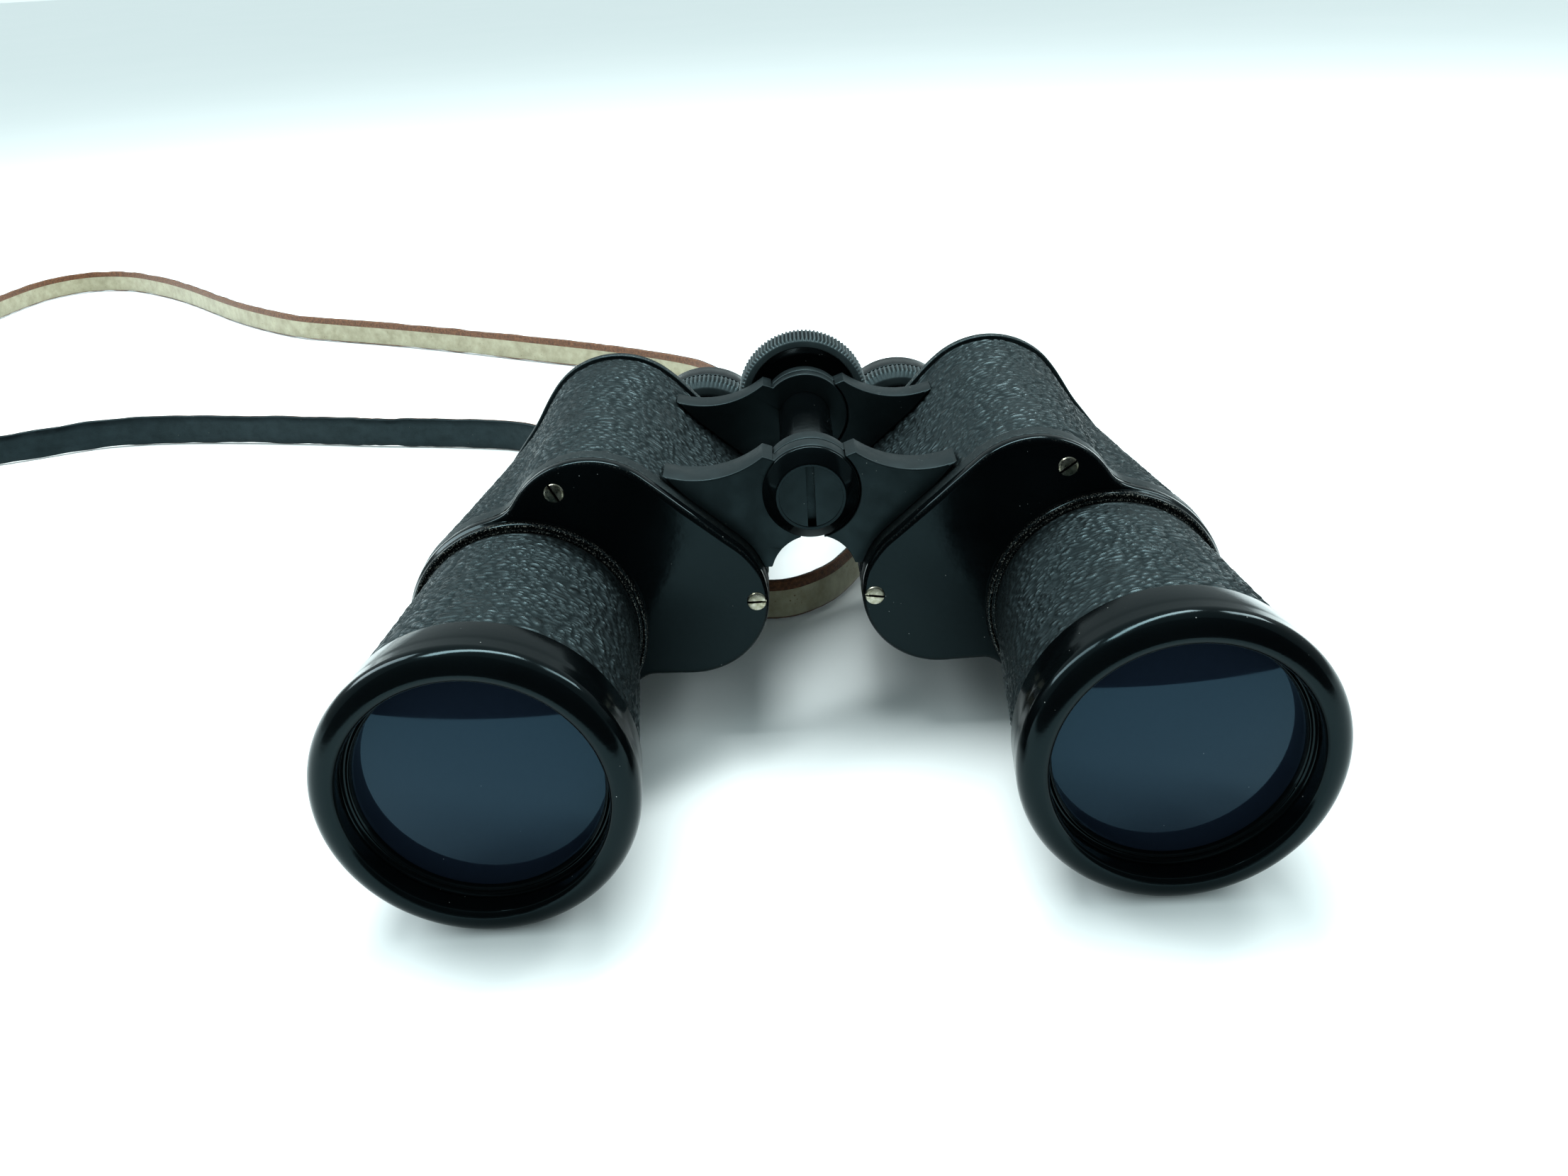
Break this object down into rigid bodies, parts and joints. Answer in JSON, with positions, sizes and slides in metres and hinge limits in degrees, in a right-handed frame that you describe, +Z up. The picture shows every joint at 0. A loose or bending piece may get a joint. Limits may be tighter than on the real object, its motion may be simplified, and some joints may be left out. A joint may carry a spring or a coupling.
{
  "type": "binoculars",
  "caption": "Porro prism binoculars with a folding hinge, a centre focus wheel, a dioptre ring and a leather neck strap.",
  "frame": {"origin": "bottom centre of the binoculars without their strap, on the table they lie on", "axes": "+Z up; the objectives face -Y and the eyepieces +Y; +X is the wearer's left barrel; the hinge axis lies along Y above the origin"},
  "size_m": [0.5655, 0.6377, 0.0798],
  "materials": {
    "satin_paint": "satin black paint on cast alloy",
    "leatherette": "pebbled black leatherette",
    "gloss_paint": "gloss black enamel",
    "nickel_screw": "aged nickel",
    "baffle_black": "matt black anodised",
    "coated_glass": "blue coated optical glass",
    "prism_glass": "polished optical glass",
    "bare_alloy": "machined",
    "spring_steel": "ground",
    "eyecup_plastic": "black moulded",
    "knurled_metal": "worn black enamel, knurled",
    "washer_brass": "turned",
    "strap_leather": "black outside, natural buff inside"
  },
  "bodies": {
    "right_barrel": {"prism_housing_right": "satin_paint", "hinge_arm_front_right": "satin_paint", "hinge_arm_rear_right": "satin_paint", "housing_leatherette_right": "leatherette", "front_cover_right": "gloss_paint", "rear_cover_right": "satin_paint", "cover_screws_right": "nickel_screw", "objective_tube_right": "gloss_paint", "tube_leatherette_right": "leatherette", "objective_hood_right": "gloss_paint", "objective_cell_right": "baffle_black", "objective_lens_right": "coated_glass", "prism_shelf_right": "bare_alloy", "front_prism_right": "prism_glass", "rear_prism_right": "prism_glass", "prism_clips_right": "spring_steel", "eyepiece_guide_right": "spring_steel", "strap_lug_right": "satin_paint", "strap_end_right": "strap_leather", "hinge_axle": "spring_steel", "hinge_tube": "gloss_paint", "hinge_cap": "gloss_paint", "hinge_washers": "washer_brass", "neck_strap": "strap_leather"},
    "left_barrel": {"prism_housing_left": "satin_paint", "hinge_arm_front_left": "satin_paint", "hinge_arm_rear_left": "satin_paint", "housing_leatherette_left": "leatherette", "front_cover_left": "gloss_paint", "rear_cover_left": "satin_paint", "cover_screws_left": "nickel_screw", "objective_tube_left": "gloss_paint", "tube_leatherette_left": "leatherette", "objective_hood_left": "gloss_paint", "objective_cell_left": "baffle_black", "objective_lens_left": "coated_glass", "prism_shelf_left": "bare_alloy", "front_prism_left": "prism_glass", "rear_prism_left": "prism_glass", "prism_clips_left": "spring_steel", "eyepiece_guide_left": "spring_steel", "strap_lug_left": "satin_paint", "strap_end_left": "strap_leather"},
    "focus_wheel": {"focus_wheel": "knurled_metal"},
    "bridge": {"focus_spindle": "spring_steel", "bridge_arm_right": "gloss_paint", "bridge_cap": "gloss_paint", "eyepiece_barrel_right": "baffle_black"},
    "left_ocular": {"bridge_arm_left": "gloss_paint", "eyepiece_barrel_left": "baffle_black", "eyepiece_ring_left": "knurled_metal", "ocular_cell_left": "baffle_black", "ocular_lenses_left": "coated_glass", "eyecup_left": "eyecup_plastic"},
    "dioptre_ring": {"dioptre_ring": "knurled_metal"},
    "right_ocular": {"ocular_cell_right": "baffle_black", "ocular_lenses_right": "coated_glass", "eyecup_right": "eyecup_plastic"}
  },
  "joints": [
    {"name": "fold", "type": "hinge", "parent": "right_barrel", "child": "left_barrel", "pos_m": [0, -0.01975, 0.0616], "axis": [0, -1, 0], "range_deg": [-6, 40]},
    {"name": "focus_turn", "type": "hinge", "parent": "right_barrel", "child": "focus_wheel", "pos_m": [0, 0.05025, 0.0616], "axis": [0, 1, 0], "range_deg": [-160, 200]},
    {"name": "bridge_slide", "type": "slide", "parent": "right_barrel", "child": "bridge", "axis": [0, 1, 0], "range_m": [-0.0026, 0.0033]},
    {"name": "left_ocular_fold", "type": "hinge", "parent": "bridge", "child": "left_ocular", "pos_m": [0, 0.06325, 0.0616], "axis": [0, -1, 0], "range_deg": [-8, 42]},
    {"name": "dioptre_turn", "type": "hinge", "parent": "bridge", "child": "dioptre_ring", "pos_m": [-0.03023, 0.08925, 0.03699], "axis": [0, 1, 0], "range_deg": [-130, 130]},
    {"name": "dioptre_slide", "type": "slide", "parent": "dioptre_ring", "child": "right_ocular", "axis": [0, 1, 0], "range_m": [-0.0014, 0.0014]}
  ],
  "couplings": [
    {"joint": "focus_turn", "follows": "bridge_slide", "rad_per_m": 1047.2},
    {"joint": "left_ocular_fold", "follows": "fold", "ratio": 1},
    {"joint": "dioptre_turn", "follows": "dioptre_slide", "rad_per_m": 1570.8}
  ]
}
